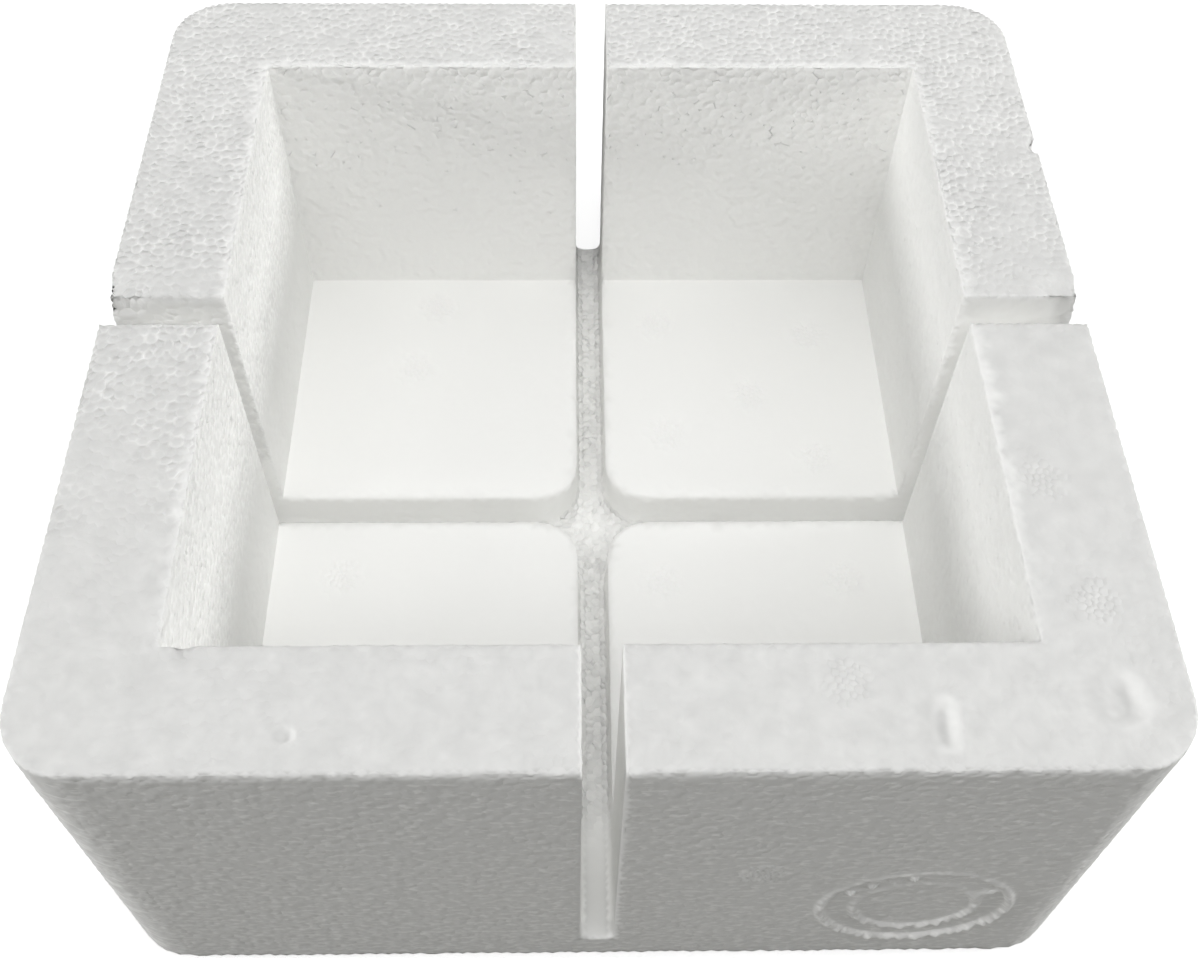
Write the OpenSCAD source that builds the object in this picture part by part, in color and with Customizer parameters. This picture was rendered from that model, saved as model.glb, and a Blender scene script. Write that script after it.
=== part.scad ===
// Block of four foam corner protectors, moulded as one piece of expanded polystyrene.
// Each quarter is one protector: a floor and two walls that seat round a packed corner.
// A cross of slots parts the quarters, which hold together by a thin web under the slots.
// The origin is at the middle of the underside, +Z is up and the fill mark faces -Y.

/* [Corner protector] */
// Length of each protector along its two outer walls
corner_side = 76; // [60:1:110]
// Height of the protector, which is the height of the block
corner_height = 76; // [60:1:110]
// Thickness of the two upright walls
wall_thickness = 19; // [14:0.5:26]
// Thickness of the floor under the packed corner
floor_thickness = 18; // [14:0.5:26]
// Radius of the outer upright edge, where the two walls meet
outer_edge_radius = 10; // [2:0.5:12]
// Radius of the inner upright edge, where the two walls meet
inner_edge_radius = 1.5; // [0.5:0.1:6]

/* [Snap-apart cross] */
// Width of the slots between the protectors
slot_width = 5.6; // [4.5:0.1:8]
// Thickness of the web that joins the protectors under the slots
web_thickness = 8; // [3:0.1:10]
// Radius of each floor's free corner, at the middle of the cross
middle_radius = 8; // [3:0.5:12]
// Radius of the cove along the foot of the slots
cove_radius = 2; // [0.5:0.1:2.2]

/* [Fill mark] */
// Distance of the mark's centre from the block's right-hand face
mark_from_side = 29; // [29:0.5:43]
// Height of the mark's centre above the underside
mark_height = 23.5; // [18:0.5:40]
// Radius of the outer ring, along its crest
mark_outer_radius = 14.8; // [12:0.1:15.8]
// Radius of the inner ring, along its crest
mark_inner_radius = 9.6; // [6:0.1:10.5]
// Radius of the rib that forms each ring, half sunk in the face
mark_rib_radius = 0.8; // [0.5:0.1:1.2]
// Depth of the shallow seat inside the outer ring
mark_seat_depth = 0.4; // [0.2:0.1:0.45]

/* [Hidden] */
$fn = 96;
foam_white = [0.93, 0.93, 0.92];
clearance = 1;                                 // how far a cut runs past a face
slot_half = slot_width / 2;
block_half = slot_half + corner_side;          // from the middle of the block to an outer face
pocket_half = block_half - wall_thickness;     // from the middle of the block to a wall's inside
middle_offset = slot_half + middle_radius;     // centre of a floor's rounded free corner

// The children once in each quarter of the block
module in_each_quarter() {
    for (x = [0, 1], y = [0, 1]) mirror([x, 0]) mirror([0, y]) children();
}

// What rounds a square corner that points to +X +Y from the origin
module corner_trim(radius) {
    translate([-radius, -radius]) difference() {
        square(radius + clearance);
        circle(radius);
    }
}

// Plan of one protector, round at its outer corner and at the middle of the cross
module protector_plan() {
    difference() {
        translate([slot_half, slot_half]) square(corner_side);
        translate([block_half, block_half]) corner_trim(outer_edge_radius);
        translate([slot_half, slot_half]) rotate(180) corner_trim(middle_radius);
    }
}

// Plan of one quarter of the pocket, which is open to the slots
module pocket_plan() {
    difference() {
        square(pocket_half);
        translate([pocket_half, pocket_half]) corner_trim(inner_edge_radius);
    }
}

// One protector: a floor and two walls
module protector() {
    difference() {
        linear_extrude(corner_height) protector_plan();
        translate([0, 0, floor_thickness]) linear_extrude(corner_height) pocket_plan();
    }
}

// Web under the cross of slots, on the block's own outline
module web() {
    linear_extrude(web_thickness) difference() {
        square(2 * block_half, center = true);
        in_each_quarter() translate([block_half, block_half]) corner_trim(outer_edge_radius);
    }
}

// Section of the cove: a slot's wall stands at x = 0, and the web's top lies at y = 0
module cove_section() {
    difference() {
        square(cove_radius);
        translate([cove_radius, cove_radius]) circle(cove_radius);
    }
}

// Cove along the foot of one protector: beside both slots, and round its free corner
module foot_cove() {
    straight_length = block_half - middle_offset;
    translate([0, 0, web_thickness]) {
        translate([middle_offset, slot_half]) rotate([90, 0, 90])
            linear_extrude(straight_length) mirror([1, 0]) cove_section();
        translate([slot_half, block_half]) rotate([90, 0, 0])
            linear_extrude(straight_length) mirror([1, 0]) cove_section();
        translate([middle_offset, middle_offset]) rotate(180)
            rotate_extrude(angle = 90) translate([middle_radius, 0]) cove_section();
    }
}

// The children on the front face, where the beads were blown into the mould, with +Z outwards
module at_fill_mark() {
    translate([block_half - mark_from_side, -block_half, mark_height])
        rotate([90, 0, 0]) children();
}

// One ring of the fill mark
module mark_ring(crest_radius) {
    rotate_extrude() translate([crest_radius, 0]) circle(mark_rib_radius);
}

module corner_block() {
    color(foam_white) {
        difference() {
            union() {
                web();
                in_each_quarter() {
                    protector();
                    foot_cove();
                }
            }
            at_fill_mark() cylinder(h = 2 * mark_seat_depth, r = mark_outer_radius, center = true);
        }
        at_fill_mark() {
            mark_ring(mark_outer_radius);
            mark_ring(mark_inner_radius);
        }
    }
}

corner_block();
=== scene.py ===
# %% [markdown]
# # A block of foam corner protectors
#
# The real object is one moulding of expanded polystyrene. Thousands of white beads were blown
# into a mould and steamed until they swelled and stuck together. Four corner protectors leave the
# mould as one block, joined by a thin web under a cross of slots.
#
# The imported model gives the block's size and form. This lesson gives it what the eye sees: the
# beads on every face, their scalloped edges, the marks of the mould, a few knocks, and the light.

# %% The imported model
import math
import random

import bpy
import bmesh
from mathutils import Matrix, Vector, noise
from mathutils.geometry import delaunay_2d_cdt


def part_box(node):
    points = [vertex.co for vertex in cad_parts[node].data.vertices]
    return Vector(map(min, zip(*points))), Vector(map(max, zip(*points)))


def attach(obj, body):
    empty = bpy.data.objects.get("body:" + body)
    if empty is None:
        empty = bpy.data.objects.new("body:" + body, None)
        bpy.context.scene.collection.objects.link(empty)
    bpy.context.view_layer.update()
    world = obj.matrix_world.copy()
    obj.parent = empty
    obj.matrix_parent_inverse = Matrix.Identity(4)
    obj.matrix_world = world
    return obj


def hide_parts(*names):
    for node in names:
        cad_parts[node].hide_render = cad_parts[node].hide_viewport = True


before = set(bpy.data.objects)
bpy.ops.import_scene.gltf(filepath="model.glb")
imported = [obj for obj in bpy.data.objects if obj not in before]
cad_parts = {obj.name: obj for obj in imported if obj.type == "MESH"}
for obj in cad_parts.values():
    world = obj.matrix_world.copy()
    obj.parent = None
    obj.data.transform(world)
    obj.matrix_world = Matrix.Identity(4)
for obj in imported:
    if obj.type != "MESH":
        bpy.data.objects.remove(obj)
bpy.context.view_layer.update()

MM = 0.001
print("packed nodes:", sorted(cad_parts))

# %% [markdown]
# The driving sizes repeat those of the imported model, in millimetres, and the overall ones are
# read from it, so that the two can't drift apart. Z is up, the origin is in the middle of the
# underside, and the face with the fill mark looks towards -Y.

# %% Sizes of the block
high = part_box("corner_block")[1]    # the block's limits to the right, at the back and above
block_half = high.x / MM
height = high.z / MM
wall = 19.0
floor_top = 18.0
web_top = 8.0
slot_half = 2.8
outer_radius = 10.0
middle_radius = 8.0
cove_radius = 2.0
pocket_half = block_half - wall
print(f"block {2 * block_half:.1f} mm across and {height:.1f} mm high")

# %% [markdown]
# **The camera** looks down on the block from above its front edge. Its place was worked out
# together with the block's proportions, so the near edge spreads wide and the far edge is short.

# %% Camera
camera_data = bpy.data.cameras.new("camera")
camera = bpy.data.objects.new("camera", camera_data)
bpy.context.scene.collection.objects.link(camera)
camera_data.sensor_width = 36.0
camera_data.lens = 42.6
camera_data.shift_x = 0.0055
camera_data.shift_y = -0.0347
camera.location = Vector((-4.43, -151.27, 247.29)) * MM
PITCH_DOWN = 53.67
YAW_RIGHT = 1.68
ROLL = 1.21
yaw, pitch, roll = (math.radians(a) for a in (YAW_RIGHT, PITCH_DOWN, ROLL))
ahead = Vector((math.sin(yaw), math.cos(yaw), 0))
forward = ahead * math.cos(pitch) - Vector((0, 0, math.sin(pitch)))
level_right = Vector((math.cos(yaw), -math.sin(yaw), 0))
level_up = level_right.cross(forward)
right = level_right * math.cos(roll) + level_up * math.sin(roll)
up = level_up * math.cos(roll) - level_right * math.sin(roll)
turn = camera.matrix_world.to_3x3()
turn.col[0], turn.col[1], turn.col[2] = right, up, -forward
camera.rotation_euler = turn.to_euler()
bpy.context.scene.camera = camera
print(f"camera {camera_data.lens:.1f} mm lens, {camera.location.length / MM:.0f} mm away")

# %% [markdown]
# **The plain body** is the form that the mould gave the block, without its beads. It could be drawn
# as a plan and pulled up, but the plan differs at each level. A cube with its upright edges rounded,
# less a pocket and less a cross of slots, is easier to follow. The two cutters are solids of their
# own. Each is shaped with the same few edit tools, so one helper enters edit mode with only the
# wanted faces or edges picked.

# %% A helper that picks parts of a mesh by a rule
def pick(piece, kind, rule):
    """Enters edit mode on piece, with only the faces or edges that rule() accepts selected."""
    bpy.ops.object.select_all(action="DESELECT")
    piece.select_set(True)
    bpy.context.view_layer.objects.active = piece
    bpy.ops.object.mode_set(mode="EDIT")
    bpy.ops.mesh.select_mode(type=kind)
    bpy.ops.mesh.select_all(action="DESELECT")
    mesh = bmesh.from_edit_mesh(piece.data)
    mesh.normal_update()
    for part in filter(rule, mesh.faces if kind == "FACE" else mesh.edges):
        part.select_set(True)
    bmesh.update_edit_mesh(piece.data)


def add_cube(name, size, centre):
    """A box of that size in millimetres, with its place in its mesh."""
    bpy.ops.object.select_all(action="DESELECT")
    bpy.ops.mesh.primitive_cube_add(size=1, location=Vector(centre) * MM, scale=Vector(size) * MM)
    piece = bpy.context.object
    piece.name = name
    bpy.ops.object.transform_apply(location=True, rotation=True, scale=True)
    return piece


def is_upright(edge):
    """Whether an edge stands straight up."""
    a, b = (v.co for v in edge.verts)
    return (a.xy - b.xy).length < 0.01 * MM


def bevel_picked(width, segments):
    """Rounds the picked edges off and leaves edit mode."""
    bpy.ops.mesh.bevel(offset=width * MM, segments=segments, affect="EDGES")
    bpy.ops.object.mode_set(mode="OBJECT")


# %% The outer form and the pocket
body = add_cube("foam_corner_block", (2 * block_half, 2 * block_half, height), (0, 0, height / 2))
pick(body, "EDGE", is_upright)
bevel_picked(outer_radius, 6)

PAST = 5.0                          # how far a cutter runs past the block
pocket_depth = height - floor_top
pocket = add_cube("pocket_cutter", (2 * pocket_half, 2 * pocket_half, pocket_depth + PAST),
                  (0, 0, floor_top + (pocket_depth + PAST) / 2))
print("outer form", len(body.data.polygons), "faces, pocket", len(pocket.data.polygons), "faces")

# %% The cross of slots: a post with four arms, rounded where the arms meet and along its foot
cross_height = height + PAST - web_top
cross = add_cube("cross_cutter", (2 * slot_half, 2 * slot_half, cross_height),
                 (0, 0, web_top + cross_height / 2))
ARM = block_half + PAST - slot_half
for direction in (Vector((1, 0, 0)), Vector((-1, 0, 0)), Vector((0, 1, 0)), Vector((0, -1, 0))):
    pick(cross, "FACE", lambda face: face.normal.dot(direction) > 0.9
         and face.calc_center_median().xy.length < 2 * slot_half * MM)
    bpy.ops.mesh.extrude_region_move(TRANSFORM_OT_translate={"value": direction * ARM * MM})
    bpy.ops.object.mode_set(mode="OBJECT")
pick(cross, "EDGE", lambda edge: True)
bpy.ops.mesh.dissolve_limited(angle_limit=math.radians(1))
bpy.ops.object.mode_set(mode="OBJECT")
pick(cross, "EDGE", lambda edge: is_upright(edge)
     and edge.verts[0].co.xy.length < 2 * slot_half * MM)
bevel_picked(middle_radius, 5)
pick(cross, "EDGE", lambda edge: all(v.co.z < (web_top + 0.1) * MM for v in edge.verts)
     and not all(max(abs(v.co.x), abs(v.co.y)) > block_half * MM for v in edge.verts))
bevel_picked(cove_radius, 3)
print("cross of slots", len(cross.data.polygons), "faces")


# %% Cutting the body
def cut_away(piece, cutter):
    """Takes the cutter's solid out of the piece, and removes the cutter."""
    cut = piece.modifiers.new("cut", "BOOLEAN")
    cut.operation = "DIFFERENCE"
    cut.solver = "EXACT"
    cut.object = cutter
    bpy.ops.object.select_all(action="DESELECT")
    piece.select_set(True)
    bpy.context.view_layer.objects.active = piece
    bpy.ops.object.modifier_apply(modifier=cut.name)
    bpy.data.objects.remove(cutter)


cut_away(body, cross)
cut_away(body, pocket)
pick(body, "EDGE", lambda edge: True)
bpy.ops.mesh.remove_doubles(threshold=0.001 * MM)
bpy.ops.mesh.dissolve_limited(angle_limit=math.radians(1))
bpy.ops.object.mode_set(mode="OBJECT")
print("plain body", len(body.data.polygons), "faces")

# %% [markdown]
# **The beads.** On the real moulding each face is a pavement of beads, pressed flat against the
# mould and grown together along thin grooves. A texture could paint them, but then the edges would
# stay ruler-straight, and the scalloped edge is what makes this foam look like itself. So the
# beads are built.
#
# Bead centres are strewn over each flat of the plain body and joined into triangles. The middle of
# each triangle is where three beads meet. Joining those middles instead of the centres gives one
# fan of triangles to each bead, with its centre as the crown and its rim in the grooves.

# %% Bead centres along the edges of the body
dice = random.Random(7)
points = []
FLAT_ON = 0.7                       # a face looks along an axis if its normal has this much of it


def side_of(place, normal):
    """Where an upright face belongs: to the outside of the block, to a slot or to the pocket."""
    from_middle = normal.x * place.x + normal.y * place.y
    if from_middle > 0:
        return "outside"
    return "slot" if from_middle > -pocket_half / 3 else "pocket"


def on_rough_end(place):
    """Whether a place is on the far wall of the left slot's end, which is as rough as the top."""
    return place.x < -pocket_half and abs(place.y - slot_half) < 0.6 and place.z > 30


def room_at(place, normal):
    """Least distance between two bead centres. Where the beads don't show, a few share one."""
    z = place.z
    if normal.z > FLAT_ON:
        if z > height - 1:
            return 1.22
        return 2.9 if z > floor_top - 1 else 1.1
    if normal.z < -FLAT_ON:
        return 2.8
    side = side_of(place, normal)
    if side == "outside":
        return 1.6 if normal.y < -FLAT_ON else 2.2
    if side == "slot":
        return 1.4 if on_rough_end(place) else 2.4
    return 1.3 if z > (50 if normal.y < -FLAT_ON else 36) else 2.6


def add_point(place):
    """Adds a bead centre and gives its number."""
    points.append(Vector(place))
    return len(points) - 1


def plan_in_order(mesh):
    """A copy of the plain body with its corners and faces in an order worked out from their places.
    The steps above don't always number them alike, and the beads would then fall elsewhere."""
    ordered = bmesh.new()
    in_order = sorted(mesh.vertices, key=lambda vertex: vertex.co[:])
    rank = {vertex.index: number for number, vertex in enumerate(in_order)}
    copies = [ordered.verts.new(vertex.co) for vertex in in_order]
    rings = []
    for polygon in mesh.polygons:
        ring = [rank[i] for i in polygon.vertices]
        first = ring.index(min(ring))
        rings.append(ring[first:] + ring[:first])
    for ring in sorted(rings):
        ordered.faces.new([copies[i] for i in ring])
    ordered.normal_update()
    return ordered


RAIL_SPACING = 1.35                 # the beads along an edge lie wider apart than their room
RAIL_SHIFT = 0.22                   # how far each one strays along the edge, in steps
plan = plan_in_order(body.data)
corner = {vertex: add_point(vertex.co / MM) for vertex in plan.verts}
rail = {}
for edge in plan.edges:
    start, end = (corner[vertex] for vertex in edge.verts)
    halfway = (points[start] + points[end]) / 2
    spacing = RAIL_SPACING * min(room_at(halfway, face.normal) for face in edge.link_faces)
    steps = max(1, round(edge.calc_length() / MM / spacing))
    parts = [(i + dice.uniform(-RAIL_SHIFT, RAIL_SHIFT)) / steps for i in range(1, steps)]
    middle = [add_point(points[start].lerp(points[end], part)) for part in parts]
    rail[edge] = [start, *middle, end]
print(len(points), "bead centres along", len(rail), "edges")


# %% [markdown]
# **Marks.** Some shapes are finer than a bead, so the points there are set out one by one, close
# together, before the beads are strewn round them. The fill mark is two rough rings round the
# place where the beads were blown in. Vents in the mould leave rosettes of small pips. The dents
# and chips are knocks that this block has taken. Bump could draw them too, but it can't lay a
# shadow beside a rib or take a bite out of an edge. Each mark says where its points lie and how
# far the surface stands out or sinks there, in millimetres.

# %% The fill mark on the front face
def ease(start, end, x):
    """Rises smoothly from 0 to 1 as x goes from start to end."""
    t = max(0, min(1, (x - start) / (end - start)))
    return t * t * (3 - 2 * t)


MARK = Vector((block_half - 29.0, -block_half, 23.5))
OUTER_RING = 14.8
INNER_RING = 9.6
RIB = 0.9                           # half the width of a ring's rib
RIB_HEIGHT = 0.6
RIB_ROWS = 3                        # rows of points on each side of a rib's crest
ROW_GAP = 0.5
ROW_STEP = 0.62
MARK_SEAT = 0.2                     # how deep the face is sunk inside the outer ring
NIBS = ((12.6, 100), (12.2, 131), (12.6, 150))      # radius and angle of each torn lump of a ring
LINK = 29                           # the angle at which a short rib joins the rings
NIB_ROUNDS = ((0, 1), (0.5, 6), (1.0, 11))          # radius of a round of points and their number


def turned(radius, angle):
    """A step in the plane of the front face, by its length and its angle in degrees."""
    return Vector((math.cos(math.radians(angle)), 0, math.sin(math.radians(angle)))) * radius


def on_front(place, normal):
    """Whether a place is on the front face, where the fill mark is."""
    return normal.y < -FLAT_ON and place.y < 0.5 - block_half


def mark_points():
    """Rows of points along both rings, and a few round each lump and along the link."""
    for ring in (OUTER_RING, INNER_RING):
        for row in range(-RIB_ROWS, RIB_ROWS + 1):
            radius = ring + ROW_GAP * row
            count = round(2 * math.pi * radius / ROW_STEP)
            for k in range(count):
                yield MARK + turned(radius, 360 * (k + 0.5 * (row % 2)) / count)
    for radius, angle in [*NIBS, (OUTER_RING - 3.1, LINK), (OUTER_RING - 2.1, LINK)]:
        for ring, count in NIB_ROUNDS:
            for k in range(count):
                yield MARK + turned(radius, angle) + turned(ring, 360 * k / count)


def rib(distance, half_width=RIB):
    """Height of a round rib at a distance from its crest, as a part of its full height."""
    return max(0, 1 - (distance / half_width) ** 2)


def mark_height(place):
    """How far the fill mark stands out at a place on the front face. The rings are strong along
    the bottom and the sides, and torn away towards the top left."""
    from_mark = place - MARK
    radius = from_mark.xz.length
    angle = math.degrees(math.atan2(from_mark.z, from_mark.x)) % 360
    rough = 1 + 0.8 * noise.noise(place * 0.9)
    outer = 0.3 + 0.7 * max(ease(150, 185, angle), 1 - ease(15, 65, angle))
    inner = 0.25 + 0.75 * max(ease(160, 195, angle), 1 - ease(25, 45, angle))
    height_here = rough * max(outer * rib(radius - OUTER_RING), inner * rib(radius - INNER_RING))
    for nib_radius, nib_angle in NIBS:
        height_here = max(height_here, rib((from_mark - turned(nib_radius, nib_angle)).xz.length))
    if INNER_RING < radius < OUTER_RING:
        across = (from_mark - turned(radius, LINK)).xz.length
        height_here = max(height_here, 0.6 * rough * rib(across))
    return RIB_HEIGHT * height_here - MARK_SEAT * (1 - ease(OUTER_RING - 1, OUTER_RING, radius))


# %% Vents: rosettes of small pips on the rim, the floors and the front
VENT_PIP = 0.3                      # how far a pip stands out
VENT_ROUNDS = ((0, 1), (1.0, 6), (2.0, 11), (3.0, 16))   # radius of a round of pips and their number
VENTS = [Vector(place) for place in (
    (32.4, -65.8, height), (68.5, -53.7, height), (65.2, -33.5, height),
    (14.0, 47.0, floor_top), (46.2, 43.8, floor_top), (33.0, 28.0, floor_top),
    (15.3, 18.1, floor_top), (44.7, 12.3, floor_top), (-36.1, 35.3, floor_top),
    (-32.2, 52.1, floor_top), (-46.8, -14.7, floor_top), (12.9, -16.0, floor_top),
    (47.0, -15.8, floor_top), (24.2, -block_half, 38.5))]


def vent_points(vent):
    """Three rough circles of pips round one in the middle."""
    upright = abs(vent.y) > block_half - 0.1
    for ring, count in VENT_ROUNDS:
        start = dice.uniform(0, 360)
        for k in range(count):
            step = turned(ring * dice.uniform(0.9, 1.1), start + 360 * k / count)
            yield vent + (step if upright else Vector((step.x, step.z, 0)))


# %% Dents and chips
DENTS = (                           # middle, half length, half width, turn, depth, squareness
    (Vector((67.6, -68.3, height)), 5.1, 4.5, -16, 0.9, 2),
    (Vector((43.4, -72.0, height)), 3.2, 4.0, -4, 0.7, 5),
    (Vector((-41.6, -73.1, height)), 1.8, 1.4, 0, 0.4, 2))
CHIPS = (                           # middle, reach, depth
    (Vector((78.6, 38.8, height)), 1.9, 1.4),
    (Vector((-56.7, -60.6, height)), 1.6, 0.6),
    (Vector((76.5, 2.8, height)), 5.0, 0.7),
    (Vector((-77.5, 2.8, height)), 5.0, 0.8))
LIP_REACH = 1.35                    # a dent's lip ends this far out, if its outline is at 1


def in_dent(place, dent):
    """Place in a dent: its distance from the middle, which is 1 on the outline, and how far it
    lies to the right, from -1 to 1."""
    middle, half_length, half_width, turn_by, _, squareness = dent
    a = math.radians(turn_by)
    x, y = (place - middle).xy
    along = (x * math.cos(a) + y * math.sin(a)) / half_length
    across = (y * math.cos(a) - x * math.sin(a)) / half_width
    distance = (abs(along) ** squareness + abs(across) ** squareness) ** (1 / squareness)
    return distance, along / max(0.01, math.hypot(along, across))


def dent_height(place, dent):
    """A thumb's dent sinks slowly from the left and ends in a steep wall on the right, with a
    low lip outside it."""
    distance, rightness = in_dent(place, dent)
    sunk = 1 - ease(0.5 * ease(-0.6, 0.6, rightness), 1, distance)
    sunk *= 0.35 + 0.65 * ease(-0.7, 0.7, distance * rightness)
    lip = 0.12 * ease(0.2, 0.8, rightness)
    lip *= ease(0.85, 1.05, distance) * (1 - ease(1.05, LIP_REACH, distance))
    return dent[4] * (lip - sunk)


def dent_highlight_and_shade(place, dent):
    """Painted highlight on a dent's steep wall, and painted shade in the sunk part before it."""
    distance, rightness = in_dent(place, dent)
    in_wall = ease(-0.2, 0.8, rightness) * ease(0.3, 0.85, distance)
    in_wall *= 1 - ease(0.95, 1.2, distance)
    return in_wall - 0.5 * (1 - ease(0.5, 1, distance))


def dent_points(dent):
    """A close grid of points over a dent and its lip."""
    step = 0.8
    reach = math.ceil(LIP_REACH * max(dent[1], dent[2]) / step)
    for i in range(-reach, reach + 1):
        for j in range(-reach, reach + 1):
            place = dent[0] + Vector((step * (i + 0.5 * (j % 2)), 0.87 * step * j, 0))
            if in_dent(place, dent)[0] < LIP_REACH:
                yield place


def on_top(place, normal):
    """Whether a place is on the flat top of the rim."""
    return normal.z > FLAT_ON and place.z > height - 0.1


def lift(place, normal):
    """How far the surface stands out along its normal, by every mark that reaches the place."""
    out = 0.0
    if on_front(place, normal) and (place - MARK).length < OUTER_RING + 2:
        out += mark_height(place)
    if on_top(place, normal):
        out += sum(dent_height(place, dent) for dent in DENTS)
    for middle, reach, depth in CHIPS:
        bite = max(0, 1 - ((place - middle).length / reach) ** 2)
        out -= depth / max(map(abs, normal)) * bite
    return out


def is_fine(place, normal):
    """Whether a place lies where the points are too close together to be beads."""
    if on_front(place, normal) and (place - MARK).length < OUTER_RING + 2:
        radius = (place - MARK).length
        return min(abs(radius - OUTER_RING), abs(radius - INNER_RING)) < RIB_ROWS * ROW_GAP + 0.4
    if on_top(place, normal) and any(in_dent(place, dent)[0] < LIP_REACH for dent in DENTS):
        return True
    return any((place - vent).length < VENT_ROUNDS[-1][0] + 0.7 for vent in VENTS)


# %% Every point that is set out one by one, with the room it needs and its own height
MARK_ROOM = 0.42
VENT_ROOM = 0.75
DENT_ROOM = 0.6
set_out = [(place, MARK_ROOM, 0.0) for place in mark_points()]
set_out += [(place, VENT_ROOM, VENT_PIP) for vent in VENTS for place in vent_points(vent)]
set_out += [(place, DENT_ROOM, 0.0) for dent in DENTS for place in dent_points(dent)]
print(len(set_out), "points set out for marks")

# %% Bead centres strewn over one face, laid out flat
def outline_of(face, to_flat):
    """The points round a face in order, and their flat places. Each side is bowed out by a hair,
    since three points in one line would confuse the triangles."""
    ids, flat = [], []
    for loop in face.loops:
        along = rail[loop.edge]
        if loop.vert != loop.edge.verts[0]:
            along = along[::-1]
        start, end = to_flat(points[along[0]]), to_flat(points[along[-1]])
        side = end - start
        out = Vector((side.y, -side.x)).normalized()
        for i in along[:-1]:
            place = to_flat(points[i])
            t = (place - start).dot(side) / side.length_squared
            ids.append(i)
            flat.append(place + out * 0.4 * t * (1 - t))
    return ids, flat


def is_inside(p, corners, margin):
    """Whether a point lies inside a flat outline and clear of it by the margin."""
    inside = False
    for a, b in zip(corners, corners[1:] + corners[:1]):
        side, reach = b - a, p - a
        if (a.y > p.y) != (b.y > p.y) and reach.x < reach.y * side.x / side.y:
            inside = not inside
        t = max(0, min(1, reach.dot(side) / side.length_squared))
        if (reach - side * t).length < margin:
            return False
    return inside


CELL = 3.0                          # a little more than the most room that a bead needs
TRIES = 10                          # places tried for each bead
CLEAR_OF_RIM = 0.45                 # distance that a bead keeps from its face's rim, of its room


def strew(corners, taken, by_hand, room_of):
    """Points inside a flat outline, clear of those taken: first those set out one by one, each with
    its own room and height, then beads at random, which have no height of their own."""
    xs, ys = [p.x for p in corners], [p.y for p in corners]
    grid = {}
    for p in taken:
        grid.setdefault((p.x // CELL, p.y // CELL), []).append((p, room_of(p)))

    def is_free(p, room):
        i, j = p.x // CELL, p.y // CELL
        return all((p - q).length > (room + other) / 2
                   for a in (i - 1, i, i + 1) for b in (j - 1, j, j + 1)
                   for q, other in grid.get((a, b), ()))

    area = (max(xs) - min(xs)) * (max(ys) - min(ys))
    centre = sum(corners, Vector((0, 0))) / len(corners)
    count = int(TRIES * area / room_of(centre) ** 2)
    tries = [(Vector((dice.uniform(min(xs), max(xs)), dice.uniform(min(ys), max(ys)))), None, None)
             for _ in range(count)]
    found = []
    for p, own_room, own_height in by_hand + tries:
        room = own_room or room_of(p)
        if is_free(p, room) and is_inside(p, corners, CLEAR_OF_RIM * room):
            grid.setdefault((p.x // CELL, p.y // CELL), []).append((p, room))
            found.append((p, own_height))
    return found


# %% Bead centres joined into triangles, face by face
def triangulate(flat, fixed):
    """Triangles between flat points, the first ones of which are the outline."""
    _, _, found, origin, _, faces = delaunay_2d_cdt(flat, [], [list(range(fixed))], 0, 1e-5, True)
    return [[origin[i][0] for i in triangle] for triangle, inside in zip(found, faces) if inside]


def settle(flat, free, triangles):
    """Moves each free point half way to the middle of its neighbours, as swelling beads do."""
    around = [set() for _ in flat]
    for triangle in triangles:
        for i in triangle:
            around[i].update(triangle)
    for i in free:
        flat[i] = (flat[i] + sum((flat[j] for j in around[i]), Vector((0, 0))) / len(around[i])) / 2


triangles = []                      # three bead centres each, and the normal of their face
outward = {}                        # sum of the normals of the faces round a point
own_heights = {}                    # how far a vent's pip stands out
for face in plan.faces:
    normal = face.normal.copy()
    longest = max(face.edges, key=lambda edge: edge.calc_length())
    across = (longest.verts[1].co - longest.verts[0].co).normalized()
    along = normal.cross(across)
    origin = points[corner[face.verts[0]]]

    def to_flat(place):
        return Vector(((place - origin).dot(across), (place - origin).dot(along)))

    def to_space(p):
        return origin + across * p.x + along * p.y

    ids, rim = outline_of(face, to_flat)
    corners = [to_flat(points[corner[vertex]]) for vertex in face.verts]
    by_hand = [(to_flat(place), room, own_height) for place, room, own_height in set_out
               if abs((place - origin).dot(normal)) < 0.01]
    inner = strew(corners, rim, by_hand, lambda p: room_at(to_space(p), normal))
    flat = rim + [p for p, _ in inner]
    free = [len(rim) + i for i, (_, own_height) in enumerate(inner) if own_height is None]
    settle(flat, free, triangulate(flat, len(rim)))
    found = triangulate(flat, len(rim))
    for p, (_, own_height) in zip(flat[len(rim):], inner):
        ids.append(add_point(to_space(p)))
        own_heights[ids[-1]] = own_height or 0
    for i in ids:
        outward[i] = outward.get(i, Vector()) + normal
    triangles += [([ids[i] for i in triangle], normal) for triangle in found]
print(len(points), "bead centres and", len(triangles), "triangles between them")
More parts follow.
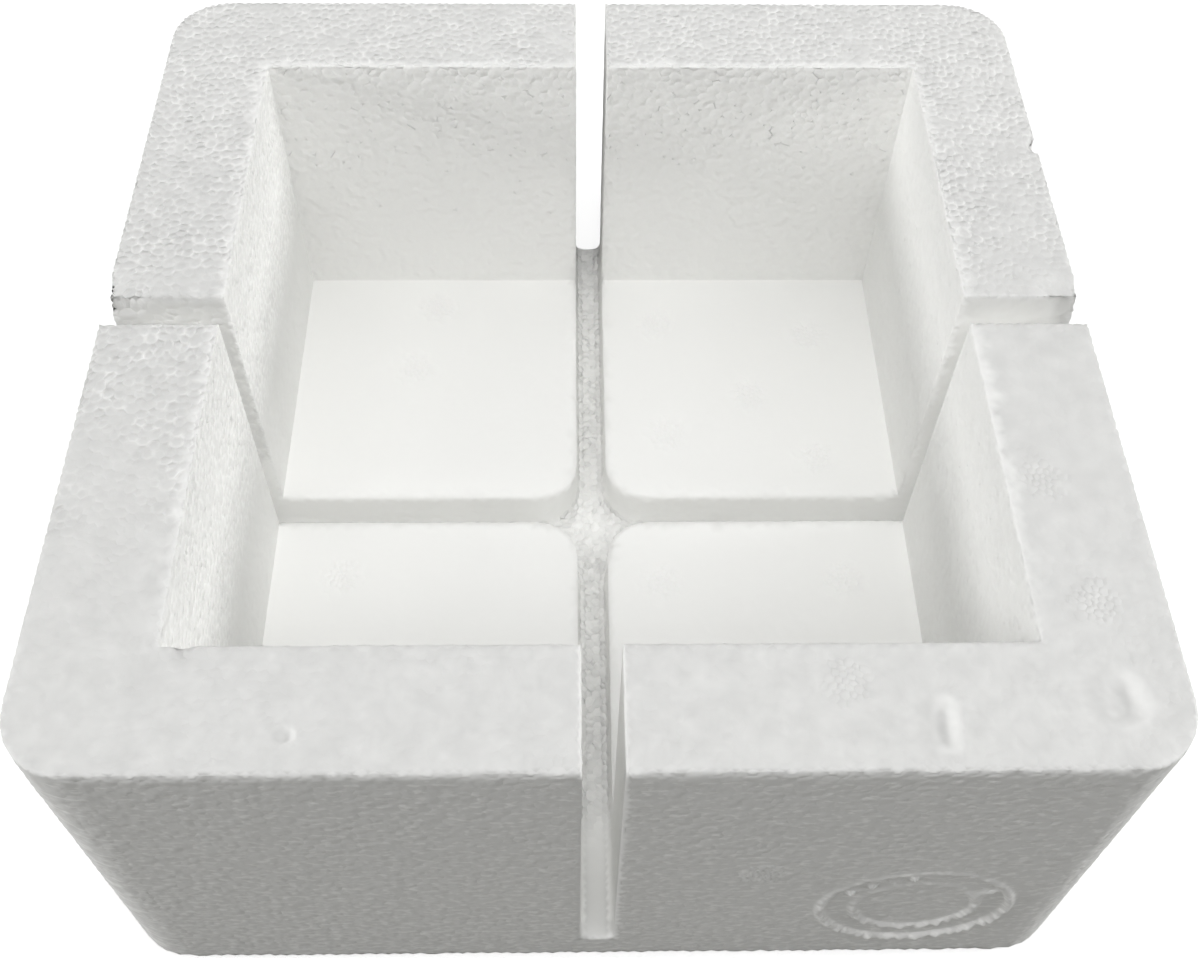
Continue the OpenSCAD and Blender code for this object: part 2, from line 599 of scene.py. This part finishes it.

# %% [markdown]
# ** Relief.** How far the grooves sink between the beads differs from place to place. The pocket
# was pressed smooth by the warm core of the mould. The top towards the back, the upper half of the
# pocket's walls and the ends of the slots were not, and their beads stay round. One depth for the
# whole block would be simpler, but this change from smooth to rough is what shows that it was
# moulded. The depths below are in millimetres and were judged: a groove of 0.15 mm already
# shows as a clear line.

# %% How deep the grooves lie at a place on the block
def groove_depth(place, normal):
    """Mean depth of the grooves. It comes and goes in patches a few beads wide."""
    x, y, z = place
    patch = 1 + 0.6 * noise.noise(place / 11)
    if normal.z > FLAT_ON:
        if z > height - 1:
            rough_from, rough_to = (-12, 25) if x > pocket_half else (-68, 0)
            return patch * (0.03 + 0.085 * ease(rough_from, rough_to, y))
        return 0.01 if z > floor_top - 1 else 0.01 + 0.12 * ease(-64, -52, y)
    if normal.z < -FLAT_ON:
        return 0.08 * patch
    side = side_of(place, normal)
    if side == "outside":
        return patch * (0.035 if normal.y < -FLAT_ON else 0.1)
    if side == "slot":
        return 0.08 * patch if on_rough_end(place) else 0.02
    if normal.y < -FLAT_ON:
        return 0.015 + 0.06 * patch * ease(46, 66, z) + 0.05 * ease(height - 5, height - 2, z)
    return 0.015 + (0.12 if normal.x > FLAT_ON else 0.03) * patch * ease(34, 50, z)


def pit_chance(place, normal):
    """Chance of a hole where three beads meet. Most of them are on the pocket's back wall."""
    if abs(normal.z) < FLAT_ON and side_of(place, normal) == "pocket":
        on_back = normal.y < -FLAT_ON
        return (0.13 if on_back else 0.02) * ease(30, 65, place.z)
    return 0.0


def unevenness(place, normal):
    """How wavy the skin is between the beads, in millimetres for the whole range of the waves."""
    if abs(normal.z) > FLAT_ON:
        return 0.2 if place.z > height - 1 else 0.06
    return 0.7 if side_of(place, normal) == "pocket" else 0.3


def top_tone_and_light(place):
    """The rough top is a shade darker, in soft clouds that are finer towards the front, and it is
    painted lighter towards the back against the shade of its deeper grooves. A ragged band beside
    the pocket is whiter, and the dents get a painted highlight and painted shade."""
    clouds = 0.05 * noise.noise(place / 2.5)
    clouds += 0.04 * (1 - ease(-60, -20, place.y)) * noise.noise(place)
    from_pocket = max(abs(place.x), abs(place.y)) - pocket_half
    reach = 2.0 + 2.5 * noise.noise(place / 1.6)
    band = ease(-70, -30, place.y) * (1 - ease(0.3 * reach, max(0.5, reach), from_pocket))
    # painted light: lighter towards the back, against the shade of the deeper grooves there
    tone = 0.775 + 0.045 * ease(20, 60, place.y) + clouds + 0.15 * band
    return min(1, tone + sum(0.12 * dent_highlight_and_shade(place, dent) for dent in DENTS))


def skin_tone_and_light(place):
    """The foam's tone with painted light: the slots and the pocket are painted whiter, standing in
    for the brighter light inside them, and the foot of a slot gets painted shade.
    """
    if place.z > height - 0.7:
        return top_tone_and_light(place)
    in_slot = min(abs(place.x), abs(place.y)) < slot_half + 0.5
    # painted shade on the foot of each slot, deepening towards the front end
    if in_slot and web_top - 0.2 < place.z < web_top + 0.5:
        return 0.7 + 0.27 * ease(-76, -54, place.y)
    if max(abs(place.x), abs(place.y)) > block_half - 3 and not on_rough_end(place):
        return 0.86
    # painted light: the slot walls are painted whiter for the light that passes between them
    if in_slot:
        return 0.9 if on_rough_end(place) else 1.0
    # the side walls are a shade darker in their upper half, which lets the painted line highlights
    # show and is partly painted shade
    if abs(place.x) > pocket_half - 0.5:
        return 0.97 - 0.045 * ease(34, 50, place.z)
    return 0.97


def edge_shape(place):
    """How far an edge that points outwards is rounded off, and how much further the gaps between
    its beads sink."""
    x, y, z = place
    if z > height - 0.1:
        if y < 0.1 - block_half:
            return 0.5, 0.05
        if on_rough_end(place):
            return 0.5, 0.1
        to_back = ease(-60, -30, y)
        if max(abs(x), abs(y)) > block_half - 3:
            return 0.12, 0.09 + 0.21 * to_back
        return 0.3 - 0.18 * to_back, 0.03 + 0.09 * to_back
    if z < 0.1:
        return 0.45, 0.4
    return 0.05, 0.08


# %% [markdown]
# A bead on an edge of the block gets two shoulders between its crown and each neighbour, so that
# the edge becomes a row of round lobes. Where two faces meet in an inner corner, the foam fills
# the corner a little instead.

# %% The middles of the triangles, where three beads meet in a groove
places = [point.copy() for point in points]       # of the finished mesh
unmoved = [point.copy() for point in points]      # before grooves, marks and chips move them
crown = [1.0] * len(points)         # 1 in a bead's middle and 0 on its rim
relief = [0.0] * len(points)        # depth of the grooves there, in millimetres
pit = [0.0] * len(points)           # 1 where there is a hole
owner = {}                          # the triangle beside each directed edge between two centres
middles = []
for number, (ids, normal) in enumerate(triangles):
    spot = sum((points[i] for i in ids), Vector()) / 3
    fine = is_fine(spot, normal)
    depth = 0.0 if fine else groove_depth(spot, normal)
    sunk = depth * dice.uniform(0.3, 0.9)
    places.append(spot + normal * (lift(spot, normal) - sunk))
    unmoved.append(spot)
    crown.append(0.0)
    relief.append(sunk)
    pit.append(float(not fine and dice.random() < pit_chance(spot, normal)))
    middles.append(len(places) - 1)
    for i in ids:
        relief[i] = max(relief[i], depth)
    for a, b in zip(ids, ids[1:] + ids[:1]):
        owner[a, b] = number
print(len(middles), "places where three beads meet, with a hole in", round(sum(pit)), "of them")

# %% The crowns of the beads, and the edges rounded off
SMOOTH_ANGLE = math.radians(40)     # two faces that meet at less than this pass into each other
rounded = set()                     # the centres on edges that have been rounded off
in_hollow = {i for edge, along in rail.items() if not edge.is_convex for i in along
             if edge.calc_face_angle() > SMOOTH_ANGLE}
for i, normal in outward.items():
    normal.normalize()
    flat_here = i in in_hollow or is_fine(points[i], normal)
    bulge = 0 if flat_here else relief[i] * dice.uniform(-0.5, 0.4)
    if normal.z < -FLAT_ON:
        bulge = min(0, bulge)       # the block stands flat
    places[i] += normal * (lift(points[i], normal) + bulge + own_heights.get(i, 0))
for edge, along in rail.items():
    if edge.is_convex and edge.calc_face_angle() > SMOOTH_ANGLE:
        rounded.update(along)
for i in rounded:
    places[i] -= outward[i] * edge_shape(points[i])[0]
for i in rounded | in_hollow:
    if i in in_hollow or points[i].y < 1 - pocket_half:
        relief[i] = 0.0
print(len(rounded), "beads on rounded edges and", len(in_hollow), "in inner corners")

# %% The fans of triangles, one for each bead
fans = []                           # the triangles of the finished mesh
bead_of = []                        # the bead that each of them belongs to
grooves = []                        # the edges of the mesh that lie where two beads meet
creases = []                        # the edges that are sharp however shallow the groove is
highlit_edges = list(rounded)            # painted highlight: the rounded outer edges are a shade whiter than the faces
SHOULDER = 0.62                     # where a shoulder lies, from 0 at the crown to 1 at the gap
SHOULDER_SINKS = 0.3                # how far it sinks, as a part of what the gap does


def add_fan(bead, *rim):
    """Adds the triangles between a bead's crown and a stretch of its rim."""
    for a, b in zip(rim, rim[1:]):
        fans.append((bead, a, b))
        bead_of.append(bead)


def add_place(place, unmoved_place, its_crown, its_relief):
    """Adds a place to the finished mesh, with what the foam needs to know there."""
    places.append(place)
    unmoved.append(unmoved_place)
    crown.append(its_crown)
    relief.append(its_relief)
    pit.append(0.0)
    return len(places) - 1


for (a, b), number in owner.items():
    if a > b:
        continue
    other = owner[b, a]
    left_rim, right_rim = middles[number], middles[other]
    normals = triangles[number][1], triangles[other][1]
    if normals[0].angle(normals[1]) < SMOOTH_ANGLE:
        add_fan(a, right_rim, left_rim)
        add_fan(b, left_rim, right_rim)
        at_pip = own_heights.get(a) or own_heights.get(b)
        (creases if at_pip else grooves).append((left_rim, right_rim))
        continue
    centre = (points[a] + points[b]) / 2
    out = (normals[0] + normals[1]).normalized()
    third = next(points[i] for i in triangles[other][0] if i not in (a, b))
    hollow = (third - centre).dot(normals[0]) > 0
    rounding, lobe = (-0.03, 0) if hollow else edge_shape(centre)
    lobe *= dice.uniform(0.6, 1.4)
    lifted = centre + out * lift(centre, out)
    depth = 0.5 * max(relief[a], relief[b])
    gap = add_place(lifted - out * (rounding + lobe), centre, 0.0, depth)
    sinks = out * (rounding + SHOULDER_SINKS * lobe)
    near_a = add_place(points[a].lerp(lifted, SHOULDER) - sinks, centre, 0.5, depth)
    near_b = add_place(points[b].lerp(lifted, SHOULDER) - sinks, centre, 0.5, depth)
    if not hollow:
        highlit_edges += [gap, near_a, near_b]
    for bead, shoulder, rim in ((a, near_a, (right_rim, gap)), (a, near_a, (gap, left_rim)),
                                (b, near_b, (left_rim, gap)), (b, near_b, (gap, right_rim))):
        if rim[0] == gap:
            fans += [(bead, shoulder, rim[1]), (shoulder, gap, rim[1])]
        else:
            fans += [(bead, rim[0], shoulder), (shoulder, rim[0], gap)]
        bead_of += [bead, bead]
    grooves += [(left_rim, gap), (gap, right_rim)]
    if hollow:
        creases += [(a, near_a), (near_a, gap), (gap, near_b), (near_b, b)]
print(len(fans), "triangles in", len(points), "beads")

# %% What the foam needs to know at each place: its crown, relief, holes, tone and waves
EDGE_HIGHLIGHT = 0.07
outer = [0.0] * len(places)         # 1 on the outer faces, where the painted streak highlights go
uneven = [0.1] * len(places)
for i, normal in outward.items():
    is_outside = side_of(points[i], normal) == "outside"
    outer[i] = float(is_outside and abs(normal.z) < 0.5)
    uneven[i] = unevenness(points[i], normal)
for number, (ids, normal) in enumerate(triangles):
    outer[middles[number]] = min(outer[i] for i in ids)
    uneven[middles[number]] = unevenness(points[ids[0]], normal)
skin_and_light = [skin_tone_and_light(place) for place in unmoved]
# the rounded outer edges get a painted highlight
for i in highlit_edges:
    skin_and_light[i] = min(1, skin_and_light[i] + EDGE_HIGHLIGHT)
in_foot = [place.z < web_top + 2 for place in places]
# where the line highlights are painted: not low on the foot, and only where the grooves are deep
highlit_lines = [0 if low_down else ease(0.03, 0.1, depth) for low_down, depth in zip(in_foot, relief)]
tones = [1 - (0.13 if low_down else 0.05) * dice.random() * min(1, depth / 0.1)
         for low_down, depth in zip(in_foot, relief)]
print(f"skin tones from {min(skin_and_light):.2f} to {max(skin_and_light):.2f}")

# %% The beads become the piece's own mesh
CLEAR_GROOVE = 0.05                 # a deeper groove than this gets a sharp edge
mesh = body.data
mesh.clear_geometry()
mesh.from_pydata([place * MM for place in places], [], fans)
for name, values in (("crown", crown), ("relief", relief), ("pit", pit), ("outer", outer),
                     ("skin_and_light", skin_and_light), ("uneven", uneven), ("highlit_lines", highlit_lines)):
    mesh.attributes.new(name, "FLOAT", "POINT").data.foreach_set("value", values)
mesh.attributes.new("tone", "FLOAT", "FACE").data.foreach_set("value", [tones[i] for i in bead_of])
sharp = {tuple(sorted(pair)) for pair in grooves if max(relief[i] for i in pair) > CLEAR_GROOVE}
sharp.update(tuple(sorted(pair)) for pair in creases)
for edge in mesh.edges:
    edge.use_edge_sharp = tuple(sorted(edge.vertices)) in sharp
for polygon in mesh.polygons:
    polygon.use_smooth = True
print(len(mesh.vertices), "vertices,", len(mesh.polygons), "triangles,", len(sharp), "sharp edges")

# %% [markdown]
# **The foam.** Expanded polystyrene is almost all air behind thin walls, and these scatter the
# light so often that the surface is bright, white and matt. The beads' skin has only a faint sheen.
# Some of the light travels a little way inside, and subsurface scattering could follow it there,
# but it takes longer to render. Here the surface is plain white, and wide lamps soften its shadows.
#
# One flat cone for each bead would look cut from paper, so the shader swells it to a low dome with
# the crown value, which runs from 1 in a bead's middle to 0 on its rim. The line where two beads
# meet gets a painted highlight, in short broken lines on the rough parts.

# %% Helpers for materials
def from_hex(text):
    """The linear colour of a hexadecimal sRGB value."""
    values = [int(text[i:i + 2], 16) / 255 for i in (0, 2, 4)]
    return [v / 12.92 if v <= 0.04045 else ((v + 0.055) / 1.055) ** 2.4 for v in values] + [1.0]


def add_node(tree, kind, values=(), **settings):
    """Adds a shader node. Values maps sockets to numbers, colours or the sockets that feed them."""
    node = tree.nodes.new("ShaderNode" + kind)
    for name, value in settings.items():
        setattr(node, name, value)
    for socket, value in dict(values).items():
        if isinstance(value, bpy.types.NodeSocket):
            tree.links.new(value, node.inputs[socket])
        else:
            node.inputs[socket].default_value = value
    return node


def new_material(name):
    """An empty material and its tree of nodes."""
    material = bpy.data.materials.new(name)
    material.use_nodes = True
    material.node_tree.nodes.clear()
    return material, material.node_tree


# %% White expanded polystyrene
DOME = 2.8                          # depth of a dome's rim in the bump, as a part of the relief
HOLE_DEPTH = 0.18                   # millimetres


def make_foam():
    foam, tree = new_material("white_foam")
    (crown_here, relief_here, tone_here, skin_and_light_here, pit_value, outer_here, uneven_here,
     highlit_lines_here) = (add_node(tree, "Attribute", attribute_name=name).outputs["Fac"] for name in (
         "crown", "relief", "tone", "skin_and_light", "pit", "outer", "uneven", "highlit_lines"))
    place = add_node(tree, "TexCoord").outputs["Object"]

    # each bead is a low dome, and the line where two beads meet gets a painted highlight
    off_crown = add_node(tree, "Math", {0: 1.0, 1: crown_here}, operation="SUBTRACT")
    fall = add_node(tree, "Math", {0: off_crown.outputs[0], 1: 2.0}, operation="POWER")
    fall = add_node(tree, "Math", {0: fall.outputs[0], 1: relief_here}, operation="MULTIPLY")
    line = add_node(tree, "MapRange", {
        "Value": crown_here, "From Max": 0.6, "To Min": 1.0, "To Max": 0.0},
        interpolation_type="SMOOTHSTEP").outputs["Result"]
    sideways = add_node(tree, "Mapping", {"Vector": place, "Scale": (0.4, 1.2, 1.2)})
    broken = add_node(tree, "TexNoise", {
        "Vector": sideways.outputs[0], "Scale": 1 / (1.6 * MM), "Detail": 0.0})
    broken = add_node(tree, "MapRange", {
        "Value": broken.outputs["Fac"], "From Min": 0.4, "From Max": 0.6, "To Min": 0.15})
    line = add_node(tree, "Math", {0: line, 1: highlit_lines_here}, operation="MULTIPLY")
    painted_line_highlight = add_node(tree, "Math", {0: line.outputs[0], 1: broken.outputs["Result"]},
                      operation="MULTIPLY")
    # the soft waves of the pressed skin are a bead wide
    uneven = add_node(tree, "TexNoise", {"Vector": place, "Scale": 1 / (2.2 * MM), "Detail": 1.0})
    waves = add_node(tree, "Math", {0: uneven.outputs["Fac"], 1: 0.5}, operation="SUBTRACT")
    waves = add_node(tree, "Math", {0: waves.outputs[0], 1: uneven_here}, operation="MULTIPLY")
    # a hole is torn a little way along the three grooves that meet in it
    pit_here = add_node(tree, "Math", {0: pit_value, 1: off_crown.outputs[0]}, operation="MULTIPLY")
    torn = add_node(tree, "Math", {0: uneven.outputs["Fac"], 1: 0.9, 2: pit_here.outputs[0]},
                    operation="MULTIPLY_ADD")
    hole = add_node(tree, "MapRange", {"Value": torn.outputs[0], "From Min": 1.05, "From Max": 1.5},
                    interpolation_type="SMOOTHSTEP").outputs["Result"]
    # painted highlights in short sideways streaks on the outer faces, standing in for light on
    # raised flecks; there are more of them towards the foot, which paints the light that the floor
    # throws back there
    split = add_node(tree, "SeparateXYZ", {"Vector": place})
    round_the_block = add_node(tree, "Math", {0: split.outputs["X"], 1: split.outputs["Y"]})
    drawn = add_node(tree, "CombineXYZ", {"X": round_the_block.outputs[0], "Z": split.outputs["Z"]})
    drawn = add_node(tree, "Mapping", {"Vector": drawn.outputs[0], "Scale": (0.55, 1.0, 1.0)})
    streak_highlight = add_node(tree, "TexNoise", {
        "Vector": drawn.outputs[0], "Scale": 1 / (1.1 * MM), "Detail": 1.0, "Roughness": 0.6})
    brighter_towards_foot = add_node(tree, "Math", {0: split.outputs["Z"], 1: 0.09 / (height * MM), 2: 0.48},
                           operation="MULTIPLY_ADD")
    streak_highlight = add_node(tree, "MapRange", {
        "Value": streak_highlight.outputs["Fac"], "From Min": brighter_towards_foot.outputs[0], "From Max": 0.7})
    streak_highlight = add_node(tree, "Math", {0: streak_highlight.outputs["Result"], 1: outer_here},
                     operation="MULTIPLY")

    height_here = waves
    for source, depth in ((fall.outputs[0], -DOME), (hole, -HOLE_DEPTH)):
        height_here = add_node(tree, "Math", {0: source, 1: depth, 2: height_here.outputs[0]},
                               operation="MULTIPLY_ADD")
    bump = add_node(tree, "Bump", {
        "Strength": 1.0, "Distance": MM, "Height": height_here.outputs[0]})

    # each bead is a shade lighter or darker than the next, the line and streak highlights are
    # painted, and a hole is darkened with painted shade
    shade = add_node(tree, "Math", {0: tone_here, 1: skin_and_light_here}, operation="MULTIPLY")
    for source, change in ((painted_line_highlight.outputs[0], 0.2), (streak_highlight.outputs[0], 0.2), (hole, -0.07)):
        shade = add_node(tree, "Math", {0: source, 1: change, 2: shade.outputs[0]},
                         operation="MULTIPLY_ADD")
    shade.use_clamp = True
    colour = add_node(tree, "Mix", {"Factor": 1.0, "A": from_hex("FEFEFC"), "B": shade.outputs[0]},
                      data_type="RGBA", blend_type="MULTIPLY")
    surface = add_node(tree, "BsdfPrincipled", {
        "Roughness": 0.6, "IOR": 1.5, "Specular IOR Level": 0.3, "Normal": bump.outputs["Normal"],
        "Base Color": colour.outputs["Result"]})
    add_node(tree, "OutputMaterial", {"Surface": surface.outputs["BSDF"]})
    return foam


mesh.materials.clear()
mesh.materials.append(make_foam())
print("foam of", len(mesh.materials[0].node_tree.nodes), "nodes")

# %% [markdown]
# **The floor and the surroundings.** The block stands on a plain pale floor that the camera sees
# as white, with the block's own soft shadow. A plain white floor would throw its light back at the
# front face, which is in a calm shade, so for light that bounces the floor is a plain grey.

# %% Floor and surroundings
def seen_by_eye(tree):
    """1 for rays from the eye, also by way of a mirror or through glass, and 0 for the rest."""
    path = add_node(tree, "LightPath")
    either = add_node(tree, "Math", {
        0: path.outputs["Is Camera Ray"], 1: path.outputs["Is Glossy Ray"]}, operation="MAXIMUM")
    return add_node(tree, "Math", {
        0: either.outputs[0], 1: path.outputs["Is Transmission Ray"]},
        operation="MAXIMUM").outputs[0]


bpy.ops.object.select_all(action="DESELECT")
bpy.ops.mesh.primitive_plane_add(size=6)
floor = bpy.context.object
floor.name = "floor"
floor_material, tree = new_material("pale_floor")
pale = add_node(tree, "BsdfDiffuse", {"Color": from_hex("F2F2F2")})
# the lamps fade with the distance from the block, and the glow makes up for it out to the horizon
from_block = add_node(tree, "VectorMath", {0: add_node(tree, "TexCoord").outputs["Object"]},
                      operation="LENGTH")
fade = add_node(tree, "MapRange", {
    "Value": from_block.outputs["Value"], "From Min": 0.3, "From Max": 1.3, "To Min": 0.45,
    "To Max": 0.95})
glow = add_node(tree, "Emission", {"Color": from_hex("FFFFFF"), "Strength": fade.outputs["Result"]})
seen = add_node(tree, "AddShader", {0: pale.outputs[0], 1: glow.outputs[0]})
grey = add_node(tree, "BsdfDiffuse", {"Color": from_hex("6C6B64")})
blend = add_node(tree, "MixShader", {0: seen_by_eye(tree), 1: grey.outputs[0], 2: seen.outputs[0]})
add_node(tree, "OutputMaterial", {"Surface": blend.outputs[0]})
floor.data.materials.append(floor_material)
print("floor", round(floor.dimensions.x, 1), "m across")

# %% The white surroundings, which light the block only faintly
world = bpy.data.worlds.new("world")
bpy.context.scene.world = world
world.use_nodes = True
world.node_tree.nodes.clear()
tree = world.node_tree
strength = add_node(tree, "MapRange", {"Value": seen_by_eye(tree), "To Min": 0.03, "To Max": 1.0})
sky = add_node(tree, "Background", {
    "Color": from_hex("FFFFFF"), "Strength": strength.outputs["Result"]})
add_node(tree, "OutputWorld", {"Surface": sky.outputs[0]})
bpy.context.scene.view_settings.view_transform = "Standard"
print("surroundings", world.name)

# %% [markdown]
# **The lamps.** White beads on a white block show only by their shading. One big soft lamp would
# wash them out, so the main lamp is long and narrow and comes from in front, and low lamps on both
# sides rake across the top. The slots are deep and narrow, and have small lamps of their own.

# %% Lamps
def add_lamp(name, place, size, watts, aim=(0, 0, 0.04)):
    """A rectangular area lamp that shines from one place at another, all in metres."""
    data = bpy.data.lights.new(name, "AREA")
    data.shape = "RECTANGLE"
    data.size, data.size_y = size
    data.energy = watts
    lamp = bpy.data.objects.new(name, data)
    bpy.context.scene.collection.objects.link(lamp)
    lamp.location = place
    towards = Vector(aim) - Vector(place)
    lamp.rotation_euler = towards.to_track_quat("-Z", "Y").to_euler()
    return lamp


# the main light comes from above and in front, so that each bead's near slope is bright
add_lamp("main_lamp", (0.15, -0.48, 0.9), (1.2, 0.4), 3.25)
add_lamp("ceiling_lamp", (0, 0, 1.0), (1.6, 0.9), 1.2)
# a narrow lamp right above the front-to-back slot reaches its foot
add_lamp("slot_lamp", (0, 0.15, 0.9), (0.06, 1.0), 2.5)
# the slots' white walls pass light to and fro more often than the renderer follows it, and a
# faint lamp at each open end that the eye looks into makes up for that
SIDE = -0.0026                      # just inside a slot's near or left wall
END = 0.069                         # between the pocket and the outer face
UP = 0.042                          # half way from the foot of the slot to the top
for name, place, aim in (("front", (SIDE, -END, UP), (1, -END, UP)),
                         ("left", (-END, SIDE, UP), (-END, 1, UP)),
                         ("right", (END, SIDE, UP), (END, 1, UP))):
    glimmer = add_lamp("glimmer_" + name, place, (0.018, 0.064), 0.0003, aim)
    glimmer.visible_camera = False
# the low lamps rake across the top and reach half way down the pocket's side walls
add_lamp("left_lamp", (-1.06, -0.12, 0.29), (0.5, 0.15), 5.1)
add_lamp("right_lamp", (1.08, 0.05, 0.32), (0.3, 0.15), 5.5)
add_lamp("left_front_lamp", (-0.7, -0.5, 0.75), (0.4, 0.4), 1.0)
add_lamp("right_front_lamp", (0.7, -0.5, 0.75), (0.4, 0.4), 0.7)
print(len(bpy.data.lights), "lamps")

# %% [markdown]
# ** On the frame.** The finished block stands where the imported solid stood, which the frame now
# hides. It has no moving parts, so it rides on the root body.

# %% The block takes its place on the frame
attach(body, "root")
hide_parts("corner_block")
